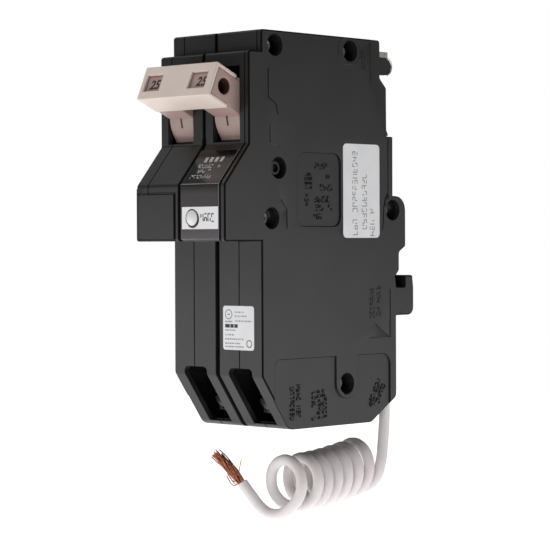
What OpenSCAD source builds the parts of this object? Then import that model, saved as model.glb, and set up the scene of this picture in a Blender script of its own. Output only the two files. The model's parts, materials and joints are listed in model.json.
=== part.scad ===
// Two-pole ground-fault circuit breaker with a neutral pigtail.
// X runs across the poles, -Y is the handle side, +Y the panel side, +Z the line end.
// Places below are in the case frame: Y = 0 at the lower front face, Z = 0 under the
// test-button block. place() moves the whole breaker so that the rail hook is the origin.

/* [Case] */
// Width of both poles together
case_w = 38.1; // [36:0.1:40]
// Free gap between the two poles
pole_gap = 1; // [0.6:0.1:1.4]
// Height of the line end above the underside of the test block
top_z = 63.6; // [62:0.1:65]
// Depth of the load end below the underside of the test block
bottom_z = -57.5; // [-58:0.1:-57]
// Thickness of the case walls
wall = 1.8; // [1.6:0.1:1.8]
// Gap left at the seams between the covers
seam = 0.1; // [0.05:0.01:0.2]

/* [Handle] */
// Height of the handle's axis
axle_z = 38.5; // [38:0.1:39]
// Depth of the handle's axis
axle_y = 5.8; // [5.8:0.1:6]
// Radius of the handle's barrel
barrel_r = 11.1; // [11:0.1:11.1]
// Tilt of the handle above level when it is on
on_tilt = 23.4; // [22:0.1:24]
// Radius of the pin hole in the handle's end
pin_hole_r = 2.4; // [2:0.1:2.6]

/* [Fasteners] */
// Radius of a rivet's shank
rivet_r = 1.6; // [1.4:0.1:1.8]
// Radius of the counterbores over the rivets
sink_r = 3.25; // [3:0.05:3.4]
// Thread pitch of the terminal screws
screw_pitch = 0.8; // [0.7:0.1:1]

/* [Pigtail] */
// Diameter of the insulated wire
wire_d = 3.5; // [3.2:0.1:3.8]
// Mean radius of the coil's turns
coil_r = 7.5; // [7:0.1:8]

/* [Hidden] */
$fn = 48;

// colours
moulding = [0.14, 0.14, 0.145];
sandstone = [0.80, 0.72, 0.68];
paper = [0.93, 0.93, 0.93];
copper = [0.78, 0.45, 0.30];
steel = [0.70, 0.70, 0.70];
tin = [0.80, 0.79, 0.75];
silver = [0.88, 0.88, 0.86];
board_green = [0.10, 0.36, 0.20];

// the rail hook's groove, which is the origin
hook_y = 64.15;
hook_z = -14.7;

// X limits of each pole's case and of the space inside it
half_w = case_w / 2;
half_gap = pole_gap / 2;
room_in = half_gap + 1.6;
room_out = half_w - wall;
pole_x = 9.7;

// seams between each pole's two covers, below and above the test block's underside
left_seam_low = -10.2;
left_seam_high = -14;
right_seam_low = 9.3;
right_seam_high = room_out;

// X limits of the handles
left_handle_x = [-15.4, -5];
right_handle_x = [4.2, 14.9];
window_play = 0.2;
window_z = [30, 52.5];

// rivets through the whole breaker, [y, z]
rivets = [[5.8, 59.1], [40, 59.3], [4.2, 6.9], [60.2, 9.8], [38, -44.6]];
sink_depth = 5.5;
rim_depth = 3.8;
post_r = 4.2;
blind_hole = [7.3, 22.1];
label_sink = 0.2;

// mechanism pivots, [y, z]
arm_pivot = [20, 33];
arm_tilt = 34;
arm_pin_r = 1.5;
cradle_pivot = [16, 55];
cradle_pin_r = 1;
trip_pivot = [33, 28];
trip_bar_r = 1.5;
axle_r = 2.2;

// hole for a tie pin through the handle, 19 mm out along the stick
pin_at = [axle_y - 19 * cos(on_tilt), axle_z + 19 * sin(on_tilt)];
running = 0.06;

// terminals
terminal_z = -48;
thread_r = 2;
opening_w = 9.6;

// test button
button_at = [5.65, 7];
button_hole_r = 2.7;

// middle of each line jaw across the poles, and the half-round guard beside each, [y, z]
left_jaw_x = -6.5;
right_jaw_x = 12.5;
guard_at = [59.2, 55.7];
guard_r = 2.8;

// narrower gap between the poles above the trip bar
upper_half_gap = 0.25;
upper_land_z = 31;

// outline of a pole seen from the side: [y, z, corner radius]
case_outline = [
    [0, -40.8, 2], [0, 0, 0], [-15.8, 0, 0.8], [-15.8, 17, 2], [-5.4, 29.1, 1], [-5.4, 57, 1],
    [0, 57, 0], [0, top_z, 1], [54.7, top_z, 1], [54.7, 51.6, 1.5], [57.8, 48.6, 1],
    [57.8, 33.2, 0], [60.5, 33.2, 0.4], [60.5, 14.3, 0], [66.7, 14.3, 4.5], [66.7, -1.8, 1],
    [63.5, -3.6, 1.5], [63.5, -9.4, 1], [61.6, -11.5, 0.5], [62.1, hook_z, 0.3],
    [66.2, hook_z, 0.3], [66.2, -11.1, 0.3], [70.1, -11.1, 0.5], [70.6, -15, 0.3],
    [70.6, -23.9, 2.4], [62, -23.9, 0.5], [62, -49.9, 2], [50.2, bottom_z, 3], [11.9, bottom_z, 4]
];

// outline of the space inside a pole
room_outline = [
    [1.8, -40.2], [1.8, 1.8], [-14, 1.8], [-14, 16.3], [-3.6, 28.4], [-3.6, 55.2], [1.8, 55.2],
    [1.8, 61.8], [52.9, 61.8], [52.9, 51.2], [56, 47.8], [56, -26], [60.2, -26], [60.2, -48.9],
    [49.7, -55.7], [12.8, -55.7]
];

// pigtail route in the case frame
exit_at = [16.6, 58.7, -50];
drop_route = [exit_at, [16.6, 58.7, -55], [16.8, 58.2, -60], [17, 57.4, -65], [17.3, 56.4, -69.5]];
tail_route = [[14, 18.6, -81.5], [9.8, 18, -84.2], [5.2, 17.4, -84.6], [1.4, 16.6, -82.4],
    [-1.4, 15.6, -79], [-4, 14.4, -75.4]];
coil_back = [9.7, 57.8, -71.6];
coil_front = [9.7, 18, -75.3];
coil_outer_r = coil_r + wire_d / 2 + 0.5;
strand_tip = [-15, 13, -66];
strand_r = 0.28;

// ---------- helpers ----------

function unit(v) = v / norm(v);

function turn2(v, a) = [v[0] * cos(a) - v[1] * sin(a), v[0] * sin(a) + v[1] * cos(a)];

// points of one rounded corner of an outline
function corner(before, at, after, r, steps) =
    r == 0 ? [at] :
    let (
        u = unit(before - at),
        v = unit(after - at),
        half = acos(u * v) / 2,
        centre = at + unit(u + v) * r / sin(half),
        first = at + u * r / tan(half) - centre,
        last = at + v * r / tan(half) - centre,
        way = sign(first[0] * last[1] - first[1] * last[0])
    )
    [for (i = [0 : steps]) centre + turn2(first, way * (180 - 2 * half) * i / steps)];

function rounded(outline, steps = 5) = [
    for (i = [0 : len(outline) - 1])
        let (
            n = len(outline),
            a = outline[(i + n - 1) % n],
            b = outline[i],
            c = outline[(i + 1) % n]
        )
        each corner([a[0], a[1]], [b[0], b[1]], [c[0], c[1]], b[2], steps)
];

// direction of a route at one of its points
function heading(route, i) =
    unit(unit(route[min(i + 1, len(route) - 1)] - route[min(i, len(route) - 2)])
        + unit(route[max(i, 1)] - route[max(i - 1, 0)]));

// sideways directions along a route, each the last one carried on without twisting
function sides_along(route) =
    let (first = unit(cross(heading(route, 0), [0.3, 0.5, 0.8])))
    [for (i = 0, side = first; i < len(route); i = i + 1,
        side = i < len(route)
            ? unit(side - heading(route, i) * (side * heading(route, i)))
            : side) side];

function ring(at, along, side, r, sides) =
    let (up = cross(along, side))
    [for (k = [0 : sides - 1]) at + r * (side * cos(360 * k / sides) + up * sin(360 * k / sides))];

// round tube along a route
module tube(route, r, sides = 8) {
    rings = len(route);
    across = sides_along(route);
    points = [for (i = [0 : rings - 1]) each ring(route[i], heading(route, i), across[i], r, sides)];
    sides_faces = [
        for (i = [0 : rings - 2], k = [0 : sides - 1])
            let (a = i * sides + k, b = i * sides + (k + 1) % sides)
            [b, a, a + sides, b + sides]
    ];
    first_cap = [for (k = [0 : sides - 1]) k];
    last_cap = [for (k = [sides - 1 : -1 : 0]) (rings - 1) * sides + k];
    polyhedron(points, concat(sides_faces, [first_cap, last_cap]), convexity = 8);
}

// moves the case frame so that the rail hook is the origin
module place() translate([0, -hook_y, -hook_z]) children();

// a side-view outline, [y, z], given thickness across the poles
module slab(x) translate([x[0], 0, 0]) rotate([90, 0, 90]) linear_extrude(x[1] - x[0]) children();

module block(x, y, z) translate([x[0], y[0], z[0]]) cube([x[1] - x[0], y[1] - y[0], z[1] - z[0]]);

// round bar along X at a side-view point
module bar(at, x, r) translate([x[0], at[0], at[1]]) rotate([0, 90, 0]) cylinder(x[1] - x[0], r, r);

// round bar along Y at a front-view point [x, z]
module rod(at, y, r) translate([at[0], y[0], at[1]]) rotate([-90, 0, 0]) cylinder(y[1] - y[0], r, r);

// straight round bar between two points
module strut(from, to, r) {
    way = to - from;
    translate(from) rotate([0, acos(way[2] / norm(way)), atan2(way[1], way[0])])
        cylinder(norm(way), r, r, $fn = 24);
}

// ---------- case ----------

module posts(x) {
    for (at = rivets)
        bar(at, x, post_r);
}

module rivet_bores() {
    for (at = rivets) {
        bar(at, [-half_w - 1, half_w + 1], rivet_r + 0.05);
        bar(at, [half_w - sink_depth, half_w + 1], sink_r);
        bar(at, [-half_w - 1, -half_w + 2], sink_r);
    }
}

module pivot_bores(side) {
    x = side * [half_gap, half_w];
    near = [min(x), max(x)] + [0.75, -0.95];
    bar([axle_y, axle_z], near, axle_r + running);
    bar(arm_pivot, near, arm_pin_r + 0.02);
    bar(cradle_pivot, near, cradle_pin_r + running);
}

module pole_room(side) {
    x = side > 0 ? [room_in, room_out] : [-room_out, -room_in];
    difference() {
        slab(x) polygon(room_outline);
        posts(x);
    }
}

// shallow pocket in the front that leaves a groove round the blank plate or beside the face plate
module plate_pocket(side) {
    if (side < 0)
        block([-18.5, -2], [-17, -15.4], [-1, 14.7]);
    else
        for (x = [[0.4, 0.75], [16.85, right_seam_high]])
            slab(x)
                polygon([[-15.4, -1], [-15.4, 16.86], [-5.1, 28.84], [-7, 31], [-17, 18.5], [-17, -1]]);
}

module handle_window(x) block([x[0] - window_play, x[1] + window_play], [-7, -2], window_z);

// relief moulded into an outer face; depth is measured in from the face
module face_relief(side) {
    x = side > 0 ? [half_w - 0.5, half_w + 1] : [-half_w - 1, -half_w + 0.5];
    slab(x) polygon(rounded([[15.6, 4.5, 3], [35.3, 4.5, 3], [35.3, 27, 3], [15.6, 27, 3]]));
    difference() {
        slab(x) polygon(rounded([[5.4, -36, 2], [5.4, -60, 0], [58.8, -60, 0], [58.8, -36, 3.5]]));
        slab(x + [-1, 1])
            polygon(rounded([[33, -30, 0], [33, -49.3, 4.9], [43.4, -49.3, 4.9], [43.4, -30, 0]]));
    }
    slab(x) polygon([[50, 66], [50, 49.6], [58.2, 33.5], [60, 33.5], [60, 66]]);
}

// grooves moulded into the right face, each a run of points [y, z]
face_grooves = [
    [[58, 32.6], [58, 15.4], [56.5, 13.3], [55.9, 10.7], [55.7, 7.2], [55.3, 3.4]],
    [[58.9, -15.4], [58.9, -30.6], [48.6, -30.6]],
    [[51.4, -26.4], [57.6, -30.2]],
    [[2.9, 52], [2.9, 43.3], [6.2, 41.4], [7.2, 38.2]],
    [[3.6, 34.6], [3.6, 29.5], [7.5, 28.7]],
    [[8.2, 12.8], [10.9, 9.6], [10.9, 3.7]]
];
groove_r = 0.2;
groove_depth = 0.35;

// outline of a band of half-width r along a path
function band(path, r) = [
    for (i = [0 : len(path) - 1]) path[i] + r * turn2(heading(path, i), 90),
    for (i = [len(path) - 1 : -1 : 0]) path[i] - r * turn2(heading(path, i), 90)
];

// half-round guard beside a line jaw
module jaw_guard(x) slab(x) {
    translate(guard_at) circle(guard_r);
    translate([53.5, guard_at[1] - guard_r]) square([guard_at[0] - 53.5, 2 * guard_r]);
}

module side_label_outline(x) slab(x)
    polygon(rounded([[36.5, 0.9, 1.5], [53.9, 0.9, 1.5], [53.9, 30.4, 1.5], [36.5, 30.4, 1.5]]));

module terminal_opening(cx) {
    w = opening_w / 2;
    translate([cx, 12.6, 0]) rotate([90, 0, 0]) linear_extrude(13.6)
        polygon(rounded([[-w, -56, 0], [w, -56, 0], [w, -38.7, 1.4], [-w, -38.7, 1.4]]));
}

module pole_case(side) {
    x = side > 0 ? [half_gap, half_w] : [-half_w, -half_gap];
    cx = side * pole_x;
    jaw_x = side > 0 ? right_jaw_x : left_jaw_x;
    land = side * [upper_half_gap, half_gap + 0.1];
    difference() {
        union() {
            slab(x) polygon(rounded(case_outline));
            jaw_guard([jaw_x + 2.9, jaw_x + 4.6]);
            intersection() {
                slab([min(land), max(land)]) polygon(rounded(case_outline));
                block([-1, 1], [-10, 80], [upper_land_z, 80]);
            }
        }
        pole_room(side);
        rivet_bores();
        pivot_bores(side);
        face_relief(side);
        terminal_opening(cx);
        handle_window(side > 0 ? right_handle_x : left_handle_x);
        plate_pocket(side);
        block([jaw_x - 2.9, jaw_x + 2.9], [51, 56], [53, 61]);
        bar(trip_pivot, [-room_in - 0.5, room_in + 0.5], trip_bar_r + 0.08);
        bar([47.6, -20], [-room_in - 0.5, room_in + 0.5], 1.5);
        bar([47.6, -37], [-room_in - 0.5, room_in + 0.5], 1.5);
        if (side > 0) {
            bar(blind_hole, [half_w - 3, half_w + 1], sink_r);
            side_label_outline([half_w - label_sink, half_w + 1]);
            for (path = face_grooves)
                slab([half_w - groove_depth, half_w + 1]) polygon(band(path, groove_r));
            rod(button_at, [-17, -12], button_hole_r);
            translate([exit_at[0], exit_at[1], -56]) cylinder(9, 1.85, 1.85);
        }
    }
}

// ringed recess moulded into the right outer cover, closed behind
module blind_boss() difference() {
    bar(blind_hole, [half_w - 4.2, half_w - 1.5], post_r);
    difference() {
        bar(blind_hole, [half_w - 3, half_w], sink_r);
        bar(blind_hole, [half_w - 4, half_w - 1.5], 2.1);
    }
    bar(blind_hole, [half_w - 2.6, half_w], 1.2);
}

// the part of a pole on the outer side of its stepped seam
module outer_side(low, high, far) {
    block([min(low, far), max(low, far)], [-30, 90], [-70, 0]);
    block([min(high, far), max(high, far)], [-30, 90], [0, 80]);
}

module left_outer_cover() color(moulding) place() intersection() {
    pole_case(-1);
    outer_side(left_seam_low - seam / 2, left_seam_high - seam / 2, -30);
}

module left_inner_cover() color(moulding) place() intersection() {
    pole_case(-1);
    outer_side(left_seam_low + seam / 2, left_seam_high + seam / 2, 0);
}

module right_inner_cover() color(moulding) place() intersection() {
    pole_case(1);
    outer_side(right_seam_low - seam / 2, right_seam_high - seam / 2, 0);
}

module right_outer_cover() color(moulding) place() {
    intersection() {
        pole_case(1);
        outer_side(right_seam_low + seam / 2, right_seam_high + seam / 2, 30);
    }
    blind_boss();
}

module blank_plate() color(moulding) place()
    block([-18.1, -2.3], [-16.2, -15.4], [0.6, 14.3]);

module face_plate() color([0.05, 0.05, 0.05]) place() difference() {
    slab([0.75, 16.85])
        polygon([[-7, 27.24], [-15.8, 17], [-15.8, 0.6], [-16.2, 0.6], [-16.2, 17.15], [-7.3, 27.5]]);
    rod(button_at, [-17, -15], button_hole_r);
}

module test_stripe() color(paper) place() difference() {
    block([1.4, 16.7], [-16.3, -16.2], [3.65, 10.3]);
    rod(button_at, [-17, -15], button_hole_r);
}

module front_label() color(paper) place() block([2.5, 15.6], [-0.15, 0], [-33, -19.6]);

module side_label() color(paper) place() side_label_outline([half_w - label_sink, half_w - 0.05]);

module case_rivets() color(tin) place()
    for (at = rivets) difference() {
        union() {
            bar(at, [-half_w + 1.2, half_w - rim_depth], rivet_r);
            bar(at, [-half_w + 1, -half_w + 2], 2.8);
            bar(at, [half_w - rim_depth - 0.7, half_w - rim_depth], 1.9);
        }
        bar(at, [half_w - sink_depth - 6, half_w], 1.1);
    }

// ---------- handles ----------

// handle frame: first axis out along the stick, second up, turned to the on position
module at_axle() translate([axle_y, axle_z]) rotate(180 - on_tilt) mirror([0, 1]) children();

module handle_section() {
    stick = [[0, -5.1], [15, -5.1], [15, -4.3], [23.2, -4.3], [23.2, 4.3], [15, 4.3],
        [15, 5.1], [0, 5.1]];
    polygon(stick);
    circle(4.6);
    intersection() {
        circle(barrel_r, $fn = 96);
        polygon([[0, 0], [9, -24.7], [30, -24.7], [30, 24.7], [9, 24.7]]);
    }
    for (s = [-1, 1])
        rotate(s * 68) translate([barrel_r - 0.5, 0]) circle(0.9);
}

module handle(x, axle_x) difference() {
    union() {
        slab(x) at_axle() handle_section();
        bar([axle_y, axle_z], axle_x, axle_r);
    }
    bar(pin_at, x + [-1, 1], pin_hole_r);
}

module left_handle() color(sandstone) place()
    handle(left_handle_x, [-half_w + 0.95, -half_gap - 1.15]);

module right_handle() color(sandstone) place()
    handle(right_handle_x, [half_gap + 0.95, half_w - 1.15]);

module handle_tie_bar() color(sandstone) place() difference() {
    slab([-15.6, 15.1]) at_axle()
        polygon([[15.5, -5.45], [24.4, -5.45], [24.4, 5.45], [15.5, 5.45], [15.5, 4.4],
            [23.3, 4.4], [23.3, -4.4], [15.5, -4.4]]);
    for (x = [[-14.2, -7.2], [5, 12.2]])
        slab(x) at_axle() translate([22, -2.7]) square([4, 5.4]);
}

// ---------- test circuit ----------

module test_button() color(paper) place() {
    rod(button_at, [-16.4, -13.9], 2.3);
    translate([button_at[0], -16.4, button_at[1]]) intersection() {
        translate([0, 3.3, 0]) sphere(4.02);
        rotate([90, 0, 0]) cylinder(2, 2.3, 2.3);
    }
    rod(button_at, [-13.9, -13.1], 3.4);
    rod(button_at, [-13.1, -12.2], 1.4);
}

module test_contact_leaf() color(copper) place() {
    block([3.2, 8.1], [-10.8, -10.4], [2.6, 11.4]);
    block([3.2, 8.1], [-10.4, -2], [11, 11.4]);
}

module test_resistor() color([0.75, 0.62, 0.45]) place() {
    rod([11.5, 6], [-11, -5], 1.2);
    rod([11.5, 6], [-13.5, -2.5], 0.35);
}

// ---------- current path ----------

// arm frame: first axis along the arm, second towards the fixed contact
module at_arm() translate(arm_pivot) rotate(arm_tilt) children();

module line_jaw(cx, jx) {
    slab([cx - 3.5, cx + 3.5]) at_arm() translate([24, 4.6]) square([7.5, 1.1]);
    slab([cx - 3.5, cx + 3.5]) polygon([[43.9, 53.4], [49.3, 53.4], [49.3, 54.6], [43.3, 54.6]]);
    difference() {
        block([jx - 2.2, jx + 2.2], [48.1, 63.2], [53.9, 60.6]);
        block([jx - 1.2, jx + 1.2], [49.3, 64], [50, 62]);
    }
}

module left_line_jaw() color(tin) place() line_jaw(-pole_x, left_jaw_x);

module right_line_jaw() color(tin) place() line_jaw(pole_x, right_jaw_x);

module contact_button(cx, t) translate([cx, arm_pivot[0], arm_pivot[1]])
    rotate([arm_tilt, 0, 0]) translate([0, 28.2, t[0]]) cylinder(t[1] - t[0], 1.6, 1.6);

module fixed_contacts() color(silver) place()
    for (cx = [-pole_x, pole_x])
        contact_button(cx, [3.4, 4.6]);

module contact_arm(cx) difference() {
    slab([cx - 1.2, cx + 1.2]) at_arm() {
        circle(3.4);
        polygon([[0, -2.6], [26, -2], [30.5, -0.8], [30.5, 1.9], [26, 2.1], [0, 3]]);
    }
    bar(arm_pivot, [cx - 3, cx + 3], arm_pin_r + running);
}

module left_contact_arm() color(copper) place() contact_arm(-pole_x);

module right_contact_arm() color(copper) place() contact_arm(pole_x);

module left_moving_contact() color(silver) place() contact_button(-pole_x, [2.1, 3.3]);

module right_moving_contact() color(silver) place() contact_button(pole_x, [2.1, 3.3]);

module contact_arm_pins() color(steel) place() {
    bar(arm_pivot, [-half_w + 1, -half_gap - 1], arm_pin_r);
    bar(arm_pivot, [half_gap + 0.8, half_w - 1], arm_pin_r);
}

// close-wound tension spring beside each contact arm
module toggle_spring(cx) translate([cx - 4, 0, 0]) {
    for (i = [0 : 8])
        translate([0, 23 + 1.15 * i, 37 + 0.75 * i])
            rotate([-90 + 33, 0, 0]) rotate_extrude($fn = 24) translate([1.2, 0]) circle(0.4, $fn = 16);
    strut([0, 22.2, 36.5], [0, 33, 43.5], 1);
}

module left_toggle_spring() color(steel) place() toggle_spring(-pole_x);

module right_toggle_spring() color(steel) place() toggle_spring(pole_x);

module cradle(cx) difference() {
    union() {
        slab([cx + 3.1, cx + 4.7]) {
            polygon([[15, 57.2], [30, 53], [37, 48.5], [37, 44.5], [34.5, 44.5], [34, 47.5],
                [28, 50], [16, 52.7]]);
            translate(cradle_pivot) circle(2.4);
        }
        bar(cradle_pivot, [cx + 4.7, cx + 8], cradle_pin_r);
    }
    bar([33, 50], [cx, cx + 6], 0.7);
}

module left_cradle() color(steel) place() cradle(-pole_x);

module right_cradle() color(steel) place() cradle(pole_x);

module arc_plates() color(steel) place()
    for (cx = [-pole_x, pole_x], z = [38.6 : 2.2 : 47.5])
        difference() {
            block([cx - 5, cx + 5], [46.5, 55], [z, z + 0.8]);
            block([cx - 2.1, cx + 2.1], [46, 52.4], [z - 1, z + 2]);
        }

module arc_side_plates() color([0.55, 0.25, 0.18]) place()
    for (cx = [-pole_x, pole_x], s = [-1, 1])
        block([cx + s * 5.4 - 0.35, cx + s * 5.4 + 0.35], [46.5, 55], [38, 48.5]);

module bimetal(cx) {
    block([cx - 3, cx + 3], [45.6, 46.5], [-14, 24]);
    block([cx - 3, cx + 3], [43.2, 46.5], [-15.2, -14]);
    block([cx - 3, cx + 3], [43.2, 44.4], [-17.5, -15.2]);
}

module left_bimetal() color(steel) place() bimetal(-pole_x);

module right_bimetal() color(steel) place() bimetal(pole_x);

module magnet_yokes() color([0.45, 0.45, 0.47]) place()
    for (cx = [-pole_x, pole_x])
        difference() {
            block([cx - 5.6, cx + 5.6], [36.6, 49.4], [8, 22]);
            block([cx - 4.2, cx + 4.2], [36, 47.9], [7, 23]);
        }

module flexible_braids() color(copper) place()
    for (cx = [-pole_x, pole_x])
        tube([[cx + 6.4, 23, 30], [cx + 6.4, 25, 26], [cx + 6.4, 29, 23], [cx + 6.4, 35, 22],
            [cx + 6.4, 41, 23], [cx + 6.4, 44, 26]], 0.8);

module armature(cx) difference() {
    slab([cx - 5.4, cx + 5.4]) {
        translate([31.3, 6]) square([1.5, 20.5]);
        translate(trip_pivot) circle(2.7);
    }
    bar(trip_pivot, [cx - 8, cx + 8], trip_bar_r + 0.02);
}

module left_armature() color([0.45, 0.45, 0.47]) place() armature(-pole_x);

module right_armature() color([0.45, 0.45, 0.47]) place() armature(pole_x);

module trip_bar() color([0.85, 0.82, 0.7]) place() bar(trip_pivot, [-16.6, 16.6], trip_bar_r);

module left_load_lead() color(copper) place()
    tube([[-pole_x, 43.8, -17.6], [-pole_x, 44, -19], [-pole_x, 45.5, -20], [-8, 47.3, -20],
        [-6, 47.6, -20], [6, 47.6, -20], [7, 47.6, -20.6], [7.3, 47.6, -22], [7.3, 47.6, -35],
        [7, 47.6, -36.5], [6, 47.6, -37], [-6, 47.6, -37], [-8.5, 47, -37], [-9.6, 45, -37.2],
        [-pole_x, 42, -37.5], [-pole_x, 19.4, -37.8]], 1.1);

module right_load_lead() color(copper) place()
    tube([[pole_x, 43.8, -17.6], [pole_x, 43.8, -36], [pole_x, 43.2, -37.4], [pole_x, 42, -37.8],
        [pole_x, 19.4, -37.8]], 1.1);

module neutral_lead() color(paper) place()
    tube([[14.9, 56.6, -46], [14.4, 54, -42.5], [13, 49.5, -40], [12.1, 47.5, -37],
        [12.1, 47.5, -21], [12.6, 47.5, -19.2], [14, 47, -18.2], [15, 45, -18], [15, 38.6, -18]], 1.1);

module terminal_plate(cx) difference() {
    union() {
        block([cx - 4.5, cx + 4.5], [18, 19.3], [-54, -36.4]);
        rod([cx, terminal_z], [19.3, 22.5], 3.8);
    }
    rod([cx, terminal_z], [17, 24], thread_r + running);
}

module left_terminal_plate() color(tin) place() terminal_plate(-pole_x);

module right_terminal_plate() color(tin) place() terminal_plate(pole_x);

module clamp_plate(cx) difference() {
    block([cx - 4.2, cx + 4.2], [14.5, 16.1], [-53, -43]);
    rod([cx, terminal_z], [14, 17], thread_r + running);
}

module left_clamp_plate() color(tin) place() clamp_plate(-pole_x);

module right_clamp_plate() color(tin) place() clamp_plate(pole_x);

module terminal_screw(cx) difference() {
    union() {
        rod([cx, terminal_z], [12, 14.4], 3.6);
        rod([cx, terminal_z], [14.4, 25], thread_r);
    }
    block([cx - 5, cx + 5], [11, 13.2], [terminal_z - 0.5, terminal_z + 0.5]);
}

module left_terminal_screw() color(steel) place() terminal_screw(-pole_x);

module right_terminal_screw() color(steel) place() terminal_screw(pole_x);

// ---------- ground-fault electronics ----------

module toroid(z) translate([pole_x, 46, z]) rotate_extrude() translate([4.4, 0]) square([2.7, 4.6]);

module sensing_toroid() color([0.2, 0.3, 0.55]) place() toroid(-27);

module grounding_toroid() color([0.55, 0.3, 0.2]) place() toroid(-33.2);

module circuit_board() color(board_green) place() block([15.3, 16.5], [4, 38], [-34, 2]);

module board_components() color([0.1, 0.1, 0.1]) place() {
    block([13.2, 15.3], [8, 14], [-12, -2]);
    block([12.4, 15.3], [17, 22], [-9, -4]);
    block([13.8, 15.3], [26, 31], [-12, -8]);
    block([14.2, 15.3], [17, 19], [-16, -12.5]);
    block([14.2, 15.3], [22, 24], [-16, -12.5]);
    translate([11.3, 30, -25]) rotate([0, 90, 0]) cylinder(4, 3, 3);
    translate([11.3, 22, -24]) rotate([0, 90, 0]) cylinder(4, 2.4, 2.4);
    translate([12.6, 12, -24]) rotate([0, 90, 0]) cylinder(2.7, 4, 4);
}

module solenoid_bobbin() color([0.9, 0.88, 0.8]) place() difference() {
    union() {
        rod([pole_x, 12], [12, 25], 3.2);
        rod([pole_x, 12], [12, 13], 5.3);
        rod([pole_x, 12], [24, 25], 5.3);
    }
    rod([pole_x, 12], [11, 26], 2.26);
}

module solenoid_winding() color(copper) place() difference() {
    rod([pole_x, 12], [13.1, 23.9], 5);
    rod([pole_x, 12], [12, 25], 3.3);
}

module solenoid_plunger() color(steel) place() rod([pole_x, 12], [10.4, 28.6], 2.2);

// ---------- pigtail ----------

module pigtail_drop() color(paper) place() tube(drop_route, wire_d / 2);

module pigtail_coil() color(paper) place() {
    way = coil_front - coil_back;
    translate(coil_back)
        rotate([0, acos(way[2] / norm(way)), atan2(way[1], way[0])])
            cylinder(norm(way), coil_outer_r, coil_outer_r);
}

module pigtail_tail() color(paper) place() tube(tail_route, wire_d / 2);

module pigtail_strands() color(copper) place() {
    root = tail_route[len(tail_route) - 1];
    for (k = [0 : 6]) {
        ringed = k == 0 ? 0 : 1;
        spread = [cos(60 * k), sin(60 * k), 0.4 * sin(60 * k)];
        strut(root + 0.75 * ringed * spread, strand_tip + 1.5 * ringed * spread, strand_r);
    }
}

left_outer_cover();
left_inner_cover();
right_inner_cover();
right_outer_cover();
blank_plate();
face_plate();
test_stripe();
front_label();
side_label();
case_rivets();
left_handle();
right_handle();
handle_tie_bar();
test_button();
test_contact_leaf();
test_resistor();
left_line_jaw();
right_line_jaw();
fixed_contacts();
left_contact_arm();
right_contact_arm();
left_moving_contact();
right_moving_contact();
contact_arm_pins();
left_toggle_spring();
right_toggle_spring();
left_cradle();
right_cradle();
arc_plates();
arc_side_plates();
left_bimetal();
right_bimetal();
magnet_yokes();
flexible_braids();
left_armature();
right_armature();
trip_bar();
left_load_lead();
right_load_lead();
neutral_lead();
left_terminal_plate();
right_terminal_plate();
left_clamp_plate();
right_clamp_plate();
left_terminal_screw();
right_terminal_screw();
sensing_toroid();
grounding_toroid();
circuit_board();
board_components();
solenoid_bobbin();
solenoid_winding();
solenoid_plunger();
pigtail_drop();
pigtail_coil();
pigtail_tail();
pigtail_strands();
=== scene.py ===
"""Two-pole ground-fault circuit breaker with a coiled neutral pigtail.

Lengths in the helpers are in millimetres in the case frame: Y = 0 at the lower front face,
Z = 0 under the test-button block and X = 0 between the poles. P() turns them into metres in
the frame that the CAD nodes are packed in, whose origin is the rail hook.
"""

import bmesh
import bpy
import json
import math
import random
from mathutils import Matrix, Vector


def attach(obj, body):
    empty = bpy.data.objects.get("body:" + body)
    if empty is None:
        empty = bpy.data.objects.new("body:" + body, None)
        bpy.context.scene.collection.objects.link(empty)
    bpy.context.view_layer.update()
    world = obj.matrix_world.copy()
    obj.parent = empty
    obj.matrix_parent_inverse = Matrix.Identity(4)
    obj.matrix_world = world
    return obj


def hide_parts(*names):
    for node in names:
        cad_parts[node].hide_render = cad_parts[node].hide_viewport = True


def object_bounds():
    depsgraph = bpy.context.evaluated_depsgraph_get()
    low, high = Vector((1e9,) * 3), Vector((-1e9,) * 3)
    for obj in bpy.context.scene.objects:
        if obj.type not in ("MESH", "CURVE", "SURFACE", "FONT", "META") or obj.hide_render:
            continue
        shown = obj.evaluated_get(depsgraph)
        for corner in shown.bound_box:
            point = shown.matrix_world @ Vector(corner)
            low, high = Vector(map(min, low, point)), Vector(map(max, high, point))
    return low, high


MM = 0.001
HOOK_Y = 64.15
HOOK_Z = -14.7
HALF_W = 19.05
HALF_GAPS = (0.5, 0.25)
AXLE = (5.8, 38.5)
ON_TILT = math.radians(23.4)
RIVET_HOLES = [(5.8, 59.1), (40, 59.3), (4.2, 6.9), (60.2, 9.8), (38, -44.6)]
BLIND_RECESS = (7.3, 22.1)
RECESS_DEPTH = 0.5
BUTTON = (5.65, 7.0)

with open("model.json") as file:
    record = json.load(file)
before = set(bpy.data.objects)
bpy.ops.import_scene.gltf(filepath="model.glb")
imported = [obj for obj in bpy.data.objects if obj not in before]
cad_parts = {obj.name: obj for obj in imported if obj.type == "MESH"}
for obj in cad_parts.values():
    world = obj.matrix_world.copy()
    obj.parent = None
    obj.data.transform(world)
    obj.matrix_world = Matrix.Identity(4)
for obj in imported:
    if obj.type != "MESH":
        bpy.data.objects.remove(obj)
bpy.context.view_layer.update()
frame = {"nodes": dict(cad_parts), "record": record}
nodes = frame["nodes"]


def P(x, y, z):
    """A point of the case frame, in millimetres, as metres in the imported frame."""
    return Vector((x, y - HOOK_Y, z - HOOK_Z)) * MM


def add_object(name, data):
    obj = bpy.data.objects.new(name, data)
    bpy.context.scene.collection.objects.link(obj)
    return obj


# ---------- camera ----------

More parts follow.
